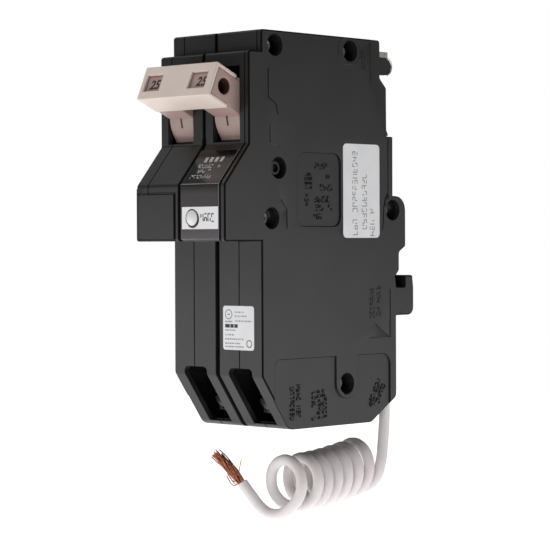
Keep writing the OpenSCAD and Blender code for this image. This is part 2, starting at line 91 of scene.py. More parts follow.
CAMERA_AT = Vector((0.46533, -0.52765, 0.01447))
CAMERA_AZIMUTH = math.radians(43.577)
CAMERA_ELEVATION = math.radians(0.884)
CAMERA_ROLL = math.radians(-0.24)
CAMERA_LENS = 140.53
CAMERA_SENSOR = 36.0


def make_camera():
    data = bpy.data.cameras.new("camera")
    data.lens = CAMERA_LENS
    data.sensor_width = CAMERA_SENSOR
    data.clip_start, data.clip_end = 0.05, 20
    camera = add_object("camera", data)
    az, el, roll = CAMERA_AZIMUTH, CAMERA_ELEVATION, CAMERA_ROLL
    back = Vector((math.sin(az) * math.cos(el), -math.cos(az) * math.cos(el), math.sin(el)))
    right = Vector((math.cos(az), math.sin(az), 0))
    up = back.cross(right)
    right, up = (
        right * math.cos(roll) + up * math.sin(roll),
        up * math.cos(roll) - right * math.sin(roll),
    )
    turn = Matrix((right, up, back)).transposed().to_4x4()
    camera.matrix_world = Matrix.Translation(CAMERA_AT) @ turn
    bpy.context.scene.camera = camera


make_camera()


# ---------- materials ----------


def link(tree, a, a_socket, b, b_socket):
    tree.links.new(a.outputs[a_socket], b.inputs[b_socket])


def ramp(tree, source, low, high):
    """A factor from 0 to 1 mapped to low..high."""
    node = tree.nodes.new("ShaderNodeMapRange")
    node.inputs["From Min"].default_value = 0.3
    node.inputs["From Max"].default_value = 0.7
    node.inputs["To Min"].default_value = low
    node.inputs["To Max"].default_value = high
    link(tree, source, "Fac", node, "Value")
    return node


def noise(tree, coords, scale, detail=3.0, stretch=None):
    node = tree.nodes.new("ShaderNodeTexNoise")
    node.inputs["Scale"].default_value = scale
    node.inputs["Detail"].default_value = detail
    if stretch is None:
        link(tree, coords, "Object", node, "Vector")
    else:
        mapping = tree.nodes.new("ShaderNodeMapping")
        mapping.inputs["Scale"].default_value = stretch
        link(tree, coords, "Object", mapping, "Vector")
        link(tree, mapping, "Vector", node, "Vector")
    return node


def material(
    name,
    dark,
    light,
    rough,
    grain=2500,
    bump=0.1,
    bump_mm=0.02,
    patch=90,
    metallic=0.0,
    stretch=None,
    **fixed,
):
    """A procedural finish: soft colour patches, and a fine grain in roughness and bump."""
    mat = bpy.data.materials.new(name)
    mat.use_nodes = True
    tree = mat.node_tree
    shader = tree.nodes["Principled BSDF"]
    coords = tree.nodes.new("ShaderNodeTexCoord")
    patches = noise(tree, coords, patch, 4.0)
    mix = tree.nodes.new("ShaderNodeMix")
    mix.data_type = "RGBA"
    mix.inputs[6].default_value = (*dark, 1)
    mix.inputs[7].default_value = (*light, 1)
    tree.links.new(ramp(tree, patches, 0, 1).outputs[0], mix.inputs[0])
    tree.links.new(mix.outputs[2], shader.inputs["Base Color"])
    fine = noise(tree, coords, grain, 3.0, stretch)
    tree.links.new(ramp(tree, fine, rough[0], rough[1]).outputs[0], shader.inputs["Roughness"])
    lift = tree.nodes.new("ShaderNodeBump")
    lift.inputs["Strength"].default_value = bump
    lift.inputs["Distance"].default_value = bump_mm * MM
    link(tree, fine, "Fac", lift, "Height")
    link(tree, lift, "Normal", shader, "Normal")
    shader.inputs["Metallic"].default_value = metallic
    for key, value in fixed.items():
        shader.inputs[key.replace("_", " ")].default_value = value
    return mat


FINISH = {
    "case_plastic": material(
        "charcoal_moulding", (0.0085, 0.0083, 0.0088), (0.0135, 0.0132, 0.0138), (0.36, 0.47),
        grain=5200, bump=0.25, bump_mm=0.02, patch=60,
    ),
    "face_gloss": material(
        "gloss_black", (0.003, 0.003, 0.0033), (0.005, 0.005, 0.0054), (0.10, 0.17),
        grain=1500, bump=0.05, patch=120,
    ),
    "label_paper": material(
        "label_paper", (0.80, 0.80, 0.815), (0.86, 0.86, 0.87), (0.42, 0.55),
        grain=6000, bump=0.15, bump_mm=0.01, patch=150,
    ),
    "handle_plastic": material(
        "cream_moulding", (0.76, 0.64, 0.57), (0.81, 0.69, 0.62), (0.40, 0.52),
        grain=4200, bump=0.18, bump_mm=0.02, patch=110,
    ),
    "button_plastic": material(
        "white_button", (0.78, 0.78, 0.77), (0.82, 0.82, 0.81), (0.25, 0.33),
        grain=3000, bump=0.06, patch=200,
    ),
    "tinned_copper": material(
        "tinned_copper", (0.60, 0.59, 0.56), (0.74, 0.73, 0.70), (0.24, 0.40),
        grain=1400, bump=0.12, patch=300, metallic=1.0, stretch=(1, 1, 0.12),
    ),
    "rivet_metal": material(
        "plated_rivet", (0.70, 0.69, 0.66), (0.84, 0.83, 0.79), (0.28, 0.42),
        grain=1800, bump=0.12, patch=300, metallic=0.8,
    ),
    # Painted shade: the steel of the screws and clamps is made dark, as they sit in the dark
    # terminal openings.
    "steel": material(
        "zinc_steel_painted_shade", (0.10, 0.10, 0.105), (0.15, 0.15, 0.15), (0.34, 0.48),
        grain=1600, bump=0.12, patch=250, metallic=1.0, stretch=(0.15, 1, 1),
    ),
    "contact_silver": material(
        "contact_silver", (0.80, 0.80, 0.78), (0.88, 0.88, 0.86), (0.20, 0.34),
        grain=2000, bump=0.10, patch=400, metallic=1.0,
    ),
    "bare_copper": material(
        "bare_copper", (0.36, 0.12, 0.065), (0.66, 0.27, 0.165), (0.26, 0.40),
        grain=2200, bump=0.10, patch=900, metallic=1.0,
    ),
    "fibre_board": material(
        "vulcanised_fibre", (0.17, 0.06, 0.04), (0.24, 0.09, 0.06), (0.62, 0.78),
        grain=2600, bump=0.20, patch=260, stretch=(1, 0.2, 1),
    ),
    "trip_plastic": material(
        "natural_moulding", (0.62, 0.56, 0.42), (0.70, 0.64, 0.50), (0.40, 0.52),
        grain=3500, bump=0.12, patch=160,
    ),
    "wire_insulation": material(
        "white_insulation", (0.74, 0.68, 0.68), (0.84, 0.79, 0.79), (0.36, 0.46),
        grain=2600, bump=0.08, bump_mm=0.03, patch=90,
    ),
    "toroid_tape": material(
        "blue_tape", (0.018, 0.035, 0.14), (0.03, 0.055, 0.20), (0.35, 0.50),
        grain=1800, bump=0.20, patch=200, stretch=(1, 0.2, 1),
    ),
    "board_laminate": material(
        "solder_mask", (0.010, 0.075, 0.028), (0.018, 0.11, 0.04), (0.22, 0.32),
        grain=2400, bump=0.14, patch=220,
    ),
    "component_epoxy": material(
        "moulded_epoxy", (0.012, 0.012, 0.013), (0.02, 0.02, 0.021), (0.48, 0.62),
        grain=3800, bump=0.22, patch=200,
    ),
}
RELIEF = material(
    "charcoal_relief", (0.003, 0.003, 0.003), (0.006, 0.006, 0.006), (0.5, 0.62),
    grain=5200, bump=0.2, patch=60, Specular_IOR_Level=0.3,
)
# Painted shade: a darker, less shiny charcoal for the case's rounded edges, drawn as dark outlines.
EDGE_PAINTED_SHADE = material(
    "charcoal_edge_painted_shade", (0.0015, 0.0015, 0.0016), (0.003, 0.003, 0.003), (0.62, 0.75),
    grain=5200, bump=0.2, patch=60, Specular_IOR_Level=0.12,
)
# Painted shade: the handles' pin bores are coloured a dark brown.
PIN_HOLE = material(
    "shaded_bore", (0.075, 0.028, 0.020), (0.10, 0.04, 0.03), (0.6, 0.7), grain=2600, bump=0.1,
    patch=120,
)
PINK = material(
    "sandstone_moulding", (0.42, 0.29, 0.265), (0.48, 0.335, 0.305), (0.40, 0.52),
    grain=4200, bump=0.18, bump_mm=0.02, patch=110,
)
# Painted highlight: a lighter grey for the face plate's rounded edges, drawn as a light rim.
EDGE_PAINTED_HIGHLIGHT = material(
    "face_edge_painted_highlight", (0.16, 0.16, 0.165), (0.24, 0.24, 0.245), (0.2, 0.3), grain=3000, bump=0.05,
    patch=200,
)


def print_ink(name, dark, light, rough):
    return material(name, dark, light, rough, grain=7000, bump=0.1, patch=900)


PRINT_PALE = print_ink("pale_grey_print", (0.20, 0.20, 0.21), (0.30, 0.30, 0.31), (0.5, 0.6))
# Dark ink for print, also used for the painted shadow round the test button.
DARK_PRINT_AND_SHADOW = print_ink("dark_print_and_painted_shadow", (0.020, 0.018, 0.017), (0.035, 0.032, 0.030), (0.5, 0.62))
PRINT_LIGHT = print_ink("light_print", (0.42, 0.42, 0.43), (0.56, 0.56, 0.57), (0.4, 0.5))

# Painted reflection: below its slope the face plate is painted a lighter charcoal, fading between
# these heights in mm.
REFLECTION_FADE_TOP = 17.2
REFLECTION_FADE_BOTTOM = 14.2
PAINTED_REFLECTION_COLOUR = (0.062, 0.056, 0.057, 1)


def paint_face_plate_reflection(mat):
    """Painted reflection on the face plate: black on its slope, painted a lighter charcoal below
    it, by height.
    """
    tree = mat.node_tree
    shader = tree.nodes["Principled BSDF"]
    coords = tree.nodes.new("ShaderNodeTexCoord")
    split = tree.nodes.new("ShaderNodeSeparateXYZ")
    link(tree, coords, "Object", split, 0)
    height = tree.nodes.new("ShaderNodeMapRange")
    height.inputs["From Min"].default_value = P(0, 0, REFLECTION_FADE_TOP).z
    height.inputs["From Max"].default_value = P(0, 0, REFLECTION_FADE_BOTTOM).z
    link(tree, split, "Z", height, "Value")
    mix = tree.nodes.new("ShaderNodeMix")
    mix.data_type = "RGBA"
    mix.inputs[7].default_value = PAINTED_REFLECTION_COLOUR
    black = shader.inputs["Base Color"].links[0].from_socket
    tree.links.new(black, mix.inputs[6])
    tree.links.new(height.outputs[0], mix.inputs[0])
    tree.links.new(mix.outputs[2], shader.inputs["Base Color"])


paint_face_plate_reflection(FINISH["face_gloss"])

for part in frame["record"]["subparts"]:
    node_mesh = nodes[part["node"]]
    node_mesh.data.materials.clear()
    node_mesh.data.materials.append(FINISH[part["material_slot"]])


# ---------- helpers ----------


def finish_piece(obj, slot, mat=None, body="case", replaced=()):
    """Gives a new piece the material of its slot, unless one is given, and its body, and hides the
    CAD nodes it stands for.
    """
    obj.data.materials.clear()
    obj.data.materials.append(mat or FINISH[slot])
    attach(obj, body)
    if replaced:
        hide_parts(*replaced)
    return obj


def mesh_object(name, bm, sharp=30):
    data = bpy.data.meshes.new(name)
    bm.to_mesh(data)
    bm.free()
    for poly in data.polygons:
        poly.use_smooth = True
    data.set_sharp_from_angle(angle=math.radians(sharp))
    return add_object(name, data)


SHARPEST_FLAT = math.radians(28)
COPLANAR = math.radians(0.3)
WELD = 2e-6
WIDE_FACE_CORNERS = 100


def weigh_edges(bm, weight_of):
    """Gives each convex edge of a shape its share of the rounding."""
    layer = bm.edges.layers.float.new("bevel_weight_edge")
    for edge in bm.edges:
        if len(edge.link_faces) != 2 or not edge.is_convex:
            continue
        if edge.calc_face_angle() > SHARPEST_FLAT:
            edge[layer] = weight_of(edge)


def bevelled(node, name, width, weight_of, segments=2):
    """A copy of a CAD node's mesh with its convex edges rounded, each by its own weight.

    A face with very many corners is cut into triangles first, because rounding its outline as one
    polygon can fold it over.
    """
    bm = bmesh.new()
    bm.from_mesh(nodes[node].data)
    bmesh.ops.remove_doubles(bm, verts=bm.verts, dist=WELD)
    bmesh.ops.dissolve_limit(
        bm, angle_limit=COPLANAR, verts=bm.verts, edges=bm.edges, delimit={"NORMAL"}
    )
    wide = [face for face in bm.faces if len(face.verts) > WIDE_FACE_CORNERS]
    bmesh.ops.triangulate(bm, faces=wide, quad_method="BEAUTY", ngon_method="BEAUTY")
    bm.normal_update()
    weigh_edges(bm, weight_of)
    obj = mesh_object(name, bm)
    rounding = obj.modifiers.new("rounding", "BEVEL")
    rounding.width = width * MM
    rounding.segments = segments
    rounding.limit_method = "WEIGHT"
    rounding.use_clamp_overlap = False
    rounding.loop_slide = not wide
    shading = obj.modifiers.new("shading", "WEIGHTED_NORMAL")
    shading.keep_sharp = True
    return obj


def bridge(bm, loops, closed=False):
    """Faces between each loop of vertices and the next, and back to the first if closed."""
    following = loops[1:] + loops[:1] if closed else loops[1:]
    for low, high in zip(loops, following):
        for k in range(len(low)):
            j = (k + 1) % len(low)
            bm.faces.new((low[k], low[j], high[j], high[k]))


def box_loop(centre, u, v, half_u, half_v):
    return [centre + u * (a * half_u) + v * (b * half_v) for a, b in
            ((-1, -1), (1, -1), (1, 1), (-1, 1))]


BAR_SINK = 0.1


def add_bar(bm, centre, u, v, half_u, half_v, height):
    """A low raised bar with a chamfered top, standing on a face at centre."""
    n = u.cross(v)
    chamfer = min(half_u, half_v, height * 2) * 0.4
    levels = [
        (-BAR_SINK * MM, 0.0),
        (height - chamfer * 0.6, 0.0),
        (height, chamfer),
    ]
    rings = [
        [bm.verts.new(p) for p in box_loop(centre + n * h, u, v, half_u - c, half_v - c)]
        for h, c in levels
    ]
    bm.faces.new(list(reversed(rings[0])))
    bm.faces.new(rings[-1])
    bridge(bm, rings)


def add_marks(bm, origin, u, v, rows, height, seed):
    """Rows of short dashes. A row is (start u, start v, length, bar height, gap), in mm."""
    rng = random.Random(seed)
    for start_u, start_v, length, bar, gap in rows:
        at = start_u
        while at < start_u + length - 0.2:
            dash = min(rng.choice((0.6, 0.9, 1.3, 1.8)) * bar, start_u + length - at)
            if dash > 0.15:
                centre = origin + u * ((at + dash / 2) * MM) + v * (start_v * MM)
                add_bar(bm, centre, u, v, dash / 2 * MM, bar / 2 * MM, height * MM)
            at += dash + gap


# Each stroke is its middle and its half size, both as shares of a mark's cell.
STROKES = (
    (0.5, 1.0, 0.42, 0.0), (1.0, 0.75, 0.0, 0.22), (1.0, 0.25, 0.0, 0.22), (0.5, 0.0, 0.42, 0.0),
    (0.0, 0.25, 0.0, 0.22), (0.0, 0.75, 0.0, 0.22), (0.5, 0.5, 0.42, 0.0),
)
GAP_CHANCE = 0.12
RING_SIDES = 24


def add_strokes(bm, origin, u, v, start, count, cell, pen, height, seed):
    """A row of up to count small marks of three or four random strokes, which spell nothing.

    start is the row's (u, v) in mm, cell the (width, height) of a mark and pen half a stroke.
    """
    rng = random.Random(seed)
    wide, tall = cell
    for k in range(count):
        if rng.random() < GAP_CHANCE:
            continue
        left = start[0] + k * wide
        for a, b, half_a, half_b in rng.sample(STROKES, rng.choice((3, 4, 4))):
            centre = (origin + u * ((left + a * wide * 0.62) * MM)
                      + v * ((start[1] + b * tall) * MM))
            add_bar(bm, centre, u, v, max(half_a * wide * 0.72, pen) * MM,
                    max(half_b * tall, pen) * MM, height * MM)


def add_ring(bm, centre, u, v, radius, width, height):
    """A flat printed ring."""
    n = u.cross(v)
    loops = []
    for r, h in ((radius, 0), (radius, height), (radius - width, height), (radius - width, 0)):
        loops.append([
            bm.verts.new(centre + (u * math.cos(a) + v * math.sin(a)) * (r * MM) + n * (h * MM))
            for a in (math.tau * j / RING_SIDES for j in range(RING_SIDES))
        ])
    bridge(bm, loops, closed=True)


def tube_mesh(bm, points, radius, sides):
    """A round rod along points, closed at both ends."""
    side = (points[1] - points[0]).orthogonal().normalized()
    rings = []
    for k, point in enumerate(points):
        along = (points[min(k + 1, len(points) - 1)] - points[max(k - 1, 0)]).normalized()
        side = (side - along * side.dot(along)).normalized()
        up = along.cross(side)
        rings.append([
            bm.verts.new(point + (side * math.cos(a) + up * math.sin(a)) * radius)
            for a in (math.tau * j / sides for j in range(sides))
        ])
    bridge(bm, rings)
    bm.faces.new(list(reversed(rings[0])))
    bm.faces.new(rings[-1])


def smooth_path(points, steps):
    """Catmull-Rom points through a list of vectors."""
    out = []
    for k in range(len(points) - 1):
        a, b, c, d = (points[max(0, min(len(points) - 1, k + j))] for j in (-1, 0, 1, 2))
        for s in range(steps):
            t = s / steps
            out.append(0.5 * (
                2 * b + (c - a) * t + (2 * a - 5 * b + 4 * c - d) * t * t
                + (3 * b - a - 3 * c + d) * t ** 3
            ))
    out.append(points[-1])
    return out


# ---------- neutral pigtail ----------

WIRE_R = 1.75
DROP = [(16.6, 58.7, -50), (16.6, 58.7, -55), (16.8, 58.2, -60), (17, 57.4, -65),
        (17.3, 56.4, -69.5)]
TAIL = [(14, 18.6, -81.5), (9.8, 18, -84.2), (5.2, 17.4, -84.6), (1.4, 16.6, -82.4),
        (-1.4, 15.6, -79), (-4, 14.4, -75.4)]
COIL_TURNS = 7.15
COIL_R = 7.5
TURN_POINTS = 28


def coil_point(t):
    """Centre line of the coil after t turns, counted from where the drop meets it."""
    late = min(max((t - 6) / 0.5, 0), 1)
    y = 55.8 - 5.4 * t + 0.09 * t * t - 3.4 * late * late * (3 - 2 * late)
    z = -71.4 - 1.15 * t + 0.085 * t * t
    angle = math.tau * t
    return P(9.7 + COIL_R * math.cos(angle), y, z - COIL_R * math.sin(angle))


def make_pigtail():
    count = round(COIL_TURNS * TURN_POINTS)
    coil = [coil_point(k * COIL_TURNS / count) for k in range(count + 1)]
    drop = smooth_path([P(*p) for p in DROP] + [coil[1]], 5)
    tail = smooth_path([coil[-1]] + [P(*p) for p in TAIL[1:]], 6)
    points = drop[:-1] + coil[1:-1] + tail
    curve = bpy.data.curves.new("neutral_pigtail", "CURVE")
    curve.dimensions = "3D"
    curve.bevel_depth = WIRE_R * MM
    curve.bevel_resolution = 5
    curve.use_fill_caps = True
    spline = curve.splines.new("POLY")
    spline.points.add(len(points) - 1)
    for target, point in zip(spline.points, points):
        target.co = (*point, 1)
    spline.use_smooth = True
    wire = add_object("neutral_pigtail", curve)
    finish_piece(wire, "wire_insulation",
                 replaced=("pigtail_drop", "pigtail_coil", "pigtail_tail"))
    length = sum((b - a).length for a, b in zip(points, points[1:]))
    return wire, length


STRANDS = 30
STRAND_R = 0.19
STRAY_R = 0.16
STRAND_SIDES = 7
# Stray strands: start, end and how far each bows upwards.
STRAYS = (
    ((-4.6, 14.2, -74.9), (-9.4, 13.0, -73.4), -2.3),
    ((-5.0, 14.0, -74.6), (-10.6, 13.6, -71.2), -2.0),
    ((-4.4, 14.4, -75.0), (-8.2, 13.4, -74.0), -1.5),
    ((-5.4, 14.2, -73.4), (-3.9, 14.0, -68.2), 0.3),
)


def make_strands():
    """Fine copper strands that leave the cut insulation together and fray towards their tips."""
    rng = random.Random(11)
    bm = bmesh.new()
    root = P(-3.6, 14.55, -75.9)
    tip = P(-14.4, 13.1, -66.6)
    along = (tip - root).normalized()
    side = along.orthogonal().normalized()
    up = along.cross(side)
    reach = (tip - root).length
    for k in range(STRANDS):
        ring = math.sqrt((k + 0.5) / STRANDS)
        start = k * 2.4
        length = reach * rng.uniform(0.86, 1.03)
        spread = rng.uniform(-0.25, 0.75) * ring
        sway = rng.uniform(-0.35, 0.35)
        twist = rng.uniform(0.9, 1.2)
        points = []
        for s in range(15):
            t = s / 14
            r = (1.15 * ring + 0.35 * math.sin(t * 3.1) * ring + spread * t ** 1.8) * MM
            a = start + twist * t * 1.6
            bend = sway * math.sin(t * 3.1) * MM
            points.append(root + along * (length * t) + side * (r * math.cos(a) + bend)
                          + up * (r * math.sin(a) - bend))
        tube_mesh(bm, points, STRAND_R * MM, STRAND_SIDES)
    for start, end, rise in STRAYS:
        a, b = P(*start), P(*end)
        points = [a.lerp(b, s / 12) + Vector((0, 0, rise * MM * math.sin(math.pi * s / 12)))
                  for s in range(13)]
        tube_mesh(bm, points, STRAY_R * MM, STRAND_SIDES)
    strands = mesh_object("copper_strands", bm, 60)
    return finish_piece(strands, "bare_copper", replaced=("pigtail_strands",))


pigtail, pigtail_length = make_pigtail()
strands = make_strands()


# ---------- case ----------

NEAR_RIVET = 3.6
ON_PLANE = 0.02
GROOVE_OR_LESS = 0.42
RECESS_OR_LESS = 0.8
RECESS_SHARE = 0.4
RIVET_SHARE = 0.25
OTHER_SHARE = 0.35


def near_rivet(y, z):
    return any(
        math.hypot(y - a, z - b) < NEAR_RIVET for a, b in RIVET_HOLES + [BLIND_RECESS]
    )


def edge_middle(edge):
    """The middle of an edge, in the case frame's millimetres."""
    middle = (edge.verts[0].co + edge.verts[1].co) / 2 / MM
    return middle.x, middle.y + HOOK_Y, middle.z + HOOK_Z


def case_weight(edge):
    """1 on the outline's edges, less on moulded details, and none on the shallow grooves."""
    y, z = edge_middle(edge)[1:]
    on_side = all(abs(abs(v.co.x / MM) - HALF_W) < ON_PLANE for v in edge.verts)
    on_gap = any(
        all(abs(abs(v.co.x / MM) - gap) < ON_PLANE for v in edge.verts) for gap in HALF_GAPS
    )
    if (on_side or on_gap) and not near_rivet(y, z):
        walls = [face for face in edge.link_faces if abs(face.normal.x) < 0.5]
        depth = max(
            (abs(v.co.x - edge.verts[0].co.x) / MM for face in walls for v in face.verts), default=0
        )
        if depth < GROOVE_OR_LESS:
            return 0.0
        return 1.0 if depth > RECESS_OR_LESS else RECESS_SHARE
    return RIVET_SHARE if near_rivet(y, z) else OTHER_SHARE


def thin_lip(edge):
    """The lip round the blank plate's pocket is too thin for the full rounding."""
    x, y, z = edge_middle(edge)
    return x < -17.9 and y < -14.5 and z < 15.2


def cover_weight(edge):
    return 0.0 if thin_lip(edge) else case_weight(edge)


def same_weight(edge):
    return 1.0


def paint_light_on_edges(obj, mat):
    """Gives the rounded edges of a piece their own material: painted shade along the case's edges,
    a painted highlight along the face plate's.
    """
    obj.data.materials.append(mat)
    obj.modifiers["rounding"].material = 1


def make_case():
    for node in ("left_outer_cover", "left_inner_cover", "right_inner_cover",
                 "right_outer_cover"):
        shell = bevelled(node, node + "_shell", 0.45, cover_weight)
        finish_piece(shell, "case_plastic", replaced=(node,))
        # Painted shade: the rounded edges get the darker edge material.
        paint_light_on_edges(shell, EDGE_PAINTED_SHADE)
    plate = bevelled("blank_plate", "blank_plate_shell", 0.18, same_weight)
    finish_piece(plate, "case_plastic", replaced=("blank_plate",))
    # Painted shade: the blank plate's rounded edges get the darker edge material.
    paint_light_on_edges(plate, EDGE_PAINTED_SHADE)
    face = bevelled("face_plate", "face_plate_shell", 0.14, same_weight)
    finish_piece(face, "face_gloss", replaced=("face_plate",))
    # Painted highlight: the face plate's rounded edges get the lighter edge material.
    paint_light_on_edges(face, EDGE_PAINTED_HIGHLIGHT)


def make_side_marks():
    """Generic relief where the moulding has lettering: small strokes in rows and columns."""
    bm = bmesh.new()
    y_axis, z_axis, down = Vector((0, 1, 0)), Vector((0, 0, 1)), Vector((0, 0, -1))
    recess = P(HALF_W - RECESS_DEPTH, 0, 0)
    face = P(HALF_W, 0, 0)
    for k, (left, z, count) in enumerate((
        (24.2, 22.2, 4), (25.4, 18.6, 3), (24.6, 15.6, 4), (23.8, 12.0, 4), (24.4, 9.4, 4),
        (23.6, 6.6, 2),
    )):
        add_strokes(bm, recess, y_axis, z_axis, (left, z), count, (1.95, 1.7), 0.16, 0.28, 30 + k)
    add_strokes(bm, recess, down, y_axis, (-20.8, 19.6), 8, (1.3, 1.3), 0.14, 0.28, 40)
    add_strokes(bm, recess, down, y_axis, (-20.8, 21.6), 5, (1.3, 0.9), 0.14, 0.28, 41)
    for k, (top, y, count) in enumerate((
        (44.6, 12.6, 8), (44.0, 15.4, 9), (46.6, 22.4, 7), (46.2, 24.8, 8), (46.0, 27.2, 7),
    )):
        add_strokes(bm, recess, down, y_axis, (top, y), count, (1.3, 1.6), 0.15, 0.28, 50 + k)
    slant_u, slant_v = Vector((0, 0.50, 0.866)), Vector((0, -0.866, 0.50))
    for k in range(3):
        add_strokes(bm, P(HALF_W - RECESS_DEPTH, 49.8 + 1.9 * k, -52.6 + 0.4 * k), slant_u,
                    slant_v, (0, 0), 7 - k, (1.4, 1.5), 0.15, 0.28, 60 + k)
    for k, (top, y, count) in enumerate(((15.2, 49.2, 7), (14.4, 52.2, 7))):
        add_strokes(bm, face, down, y_axis, (top, y), count, (1.4, 1.8), 0.15, 0.12, 70 + k)
    add_strokes(bm, face, down, y_axis, (-59.6, 45.4), 4, (1.5, 1.4), 0.14, 0.1, 80)
    marks = mesh_object("side_relief_marks", bm)
    finish_piece(marks, "case_plastic", RELIEF)


def make_ridges():
    """Low raised lines on the right side: round the rear hole, and the vertical one behind it."""
    bm = bmesh.new()
    n = Vector((1, 0, 0))
    lines = [
        [(37.4, 63.2), (35.9, 62.6), (34.65, 61.2), (34.6, 57.6), (36.9, 55.2), (42.6, 55.2),
         (44.8, 57.4), (44.8, 61.2), (43.6, 62.6)],
        [(49.7, 63.0), (49.7, 49.6), (57.8, 33.6)],
    ]
    for line in lines:
        for (y0, z0), (y1, z1) in zip(line, line[1:]):
            a, b = P(HALF_W, y0, z0), P(HALF_W, y1, z1)
            u = (b - a).normalized()
            v = n.cross(u)
            add_bar(bm, (a + b) / 2, u, v, (b - a).length / 2 + 0.1 * MM, 0.2 * MM, 0.1 * MM)
    ridges = mesh_object("side_ridges", bm)
    finish_piece(ridges, "case_plastic")


JAWS = (("left_line_jaw", -6.5), ("right_line_jaw", 12.5))
GUARD_AT = (59.2, 55.7)
LIP_BEND_R = 2.75
LIP_OFFSET = 4.7
LIP_STEPS = 16


def make_jaws():
    """The formed jaws, each with a rolled lip that curves round the guard beside it."""
    for node, x in JAWS:
        jaw = bevelled(node, node + "_formed", 0.22, same_weight, 3)
        finish_piece(jaw, "tinned_copper", replaced=(node,))
        bm = bmesh.new()
        points = []
        for k in range(LIP_STEPS + 1):
            a = math.radians(-75 + 150 * k / LIP_STEPS)
            points.append(P(x + LIP_OFFSET, GUARD_AT[0] + LIP_BEND_R * math.cos(a),
                            GUARD_AT[1] + LIP_BEND_R * math.sin(a)))
        tube_mesh(bm, points, 0.3 * MM, 8)
        lip = mesh_object(node + "_lip", bm, 60)
        finish_piece(lip, "tinned_copper")


make_case()
make_side_marks()
make_ridges()
make_jaws()


# ---------- labels ----------


def rounded_sheet(bm, origin, u, v, low, high, radius, thick):
    """A flat sheet with round corners between two corners of the (u, v) plane, in mm."""
    n = u.cross(v)
    outline = []
    for cu, cv, start in ((high[0] - radius, high[1] - radius, 0),
                          (low[0] + radius, high[1] - radius, 90),
                          (low[0] + radius, low[1] + radius, 180),
                          (high[0] - radius, low[1] + radius, 270)):
        for k in range(7):
            a = math.radians(start + 15 * k)
            outline.append((cu + radius * math.cos(a), cv + radius * math.sin(a)))
    loops = [[bm.verts.new(origin + u * (a * MM) + v * (b * MM) + n * (h * MM))
              for a, b in outline] for h in (-thick, 0)]
    bm.faces.new(list(reversed(loops[0])))
    bm.faces.new(loops[1])
    bridge(bm, loops)


FRONT_LABEL_LOW, FRONT_LABEL_HIGH = (2.5, -33), (15.6, -19.6)
LABEL_LIFT = 0.15
INK = 0.02
# Each row of fine print on the front label: start x, height z, length, bar height and gap.
FINE_ROWS = (
    (7.6, -21.5, 4.0, 0.4, 0.3),
    (7.6, -22.7, 5.0, 0.4, 0.3),
    (3.4, -24.4, 3.2, 0.5, 0.2),
    (7.6, -24.2, 7.2, 0.4, 0.25),
    (3.4, -27.0, 4.4, 0.42, 0.3),
    (3.4, -28.4, 4.0, 0.42, 0.3),
    (3.4, -29.7, 8.0, 0.42, 0.3),
    (3.4, -31.0, 6.4, 0.42, 0.3),
    (3.4, -32.0, 7.8, 0.42, 0.3),
)
BOLD_ROW = (3.4, -25.7, 5.4, 1.1, 0.25)
# Each column of print on the side label: its y, its top z and its number of marks.
SIDE_COLUMNS = ((41.6, 28.6, 15), (46.0, 21.6, 11), (49.8, 10.6, 5))
SIDE_PITCH = 1.78


def make_front_label():
    """The front label's sheet and its generic print: two rings, a bold row and fine rows."""
    u, v = Vector((1, 0, 0)), Vector((0, 0, 1))
    front = P(0, -LABEL_LIFT, 0)
    bm = bmesh.new()
    rounded_sheet(bm, front, u, v, FRONT_LABEL_LOW, FRONT_LABEL_HIGH, 0.9, LABEL_LIFT)
    finish_piece(mesh_object("front_label_sheet", bm), "label_paper", replaced=("front_label",))
    bm = bmesh.new()
    upper_ring = P(4.9, -LABEL_LIFT, -22.2)
    add_ring(bm, upper_ring, u, v, 1.55, 0.28, INK)
    add_bar(bm, upper_ring, u, v, 0.55 * MM, 0.16 * MM, INK * MM)
    add_ring(bm, P(13.6, -LABEL_LIFT, -31.0), u, v, 1.25, 0.4, INK)
    add_marks(bm, front, u, v, FINE_ROWS, INK, 7)
    finish_piece(mesh_object("front_label_fine_print", bm), "label_paper", PRINT_PALE)
    bm = bmesh.new()
    add_marks(bm, front, u, v, [BOLD_ROW], INK, 12)
    finish_piece(mesh_object("front_label_bold_print", bm), "label_paper", DARK_PRINT_AND_SHADOW)


def make_side_label_print():
    bm = bmesh.new()
    up, forward = Vector((0, 0, 1)), Vector((0, -1, 0))
    for k, (y, top, count) in enumerate(SIDE_COLUMNS):
        add_strokes(bm, P(HALF_W - 0.05, 0, 0), up, forward, (top - SIDE_PITCH * count, -y - 1.6),
                    count, (SIDE_PITCH, 2.1), 0.15, INK, 90 + k)
    finish_piece(mesh_object("side_label_print", bm), "label_paper", PRINT_PALE)


def make_face_print():
    """Four blocks and three rows of marks on the face plate's slope, and marks on the stripe."""
    u, v = Vector((1, 0, 0)), Vector((0, 8.5, 10.08)).normalized()
    bm = bmesh.new()
    origin = P(0, -16.2, 17.15)
    for k, x in enumerate((5.6, 7.8, 10.0, 12.2)):
        add_bar(bm, origin + u * (x * MM) + v * ((9.6 + 0.03 * k) * MM), u, v,
                0.62 * MM, 0.95 * MM, INK * MM)
    for k, (left, up, count) in enumerate(((3.6, 6.4, 9), (4.9, 4.5, 5), (3.2, 2.2, 8))):
        add_strokes(bm, origin, u, v, (left, up), count, (1.1, 1.25), 0.11, INK, 20 + k)
    finish_piece(mesh_object("face_plate_print", bm), "face_gloss", PRINT_LIGHT)
    bm = bmesh.new()
    add_strokes(bm, P(0, -16.3, 0), u, Vector((0, 0, 1)), (9.5, 5.9), 4, (1.5, 2.3), 0.2, INK, 35)
    finish_piece(mesh_object("test_stripe_print", bm), "label_paper", DARK_PRINT_AND_SHADOW)


BUTTON_CLEAR_R = 2.42
HOLE_EDGE_R = 2.72
HOLE_SHIFT = (0.35, -0.28)
CRESCENT_STEPS = 48
CRESCENT_FRONT = -16.36


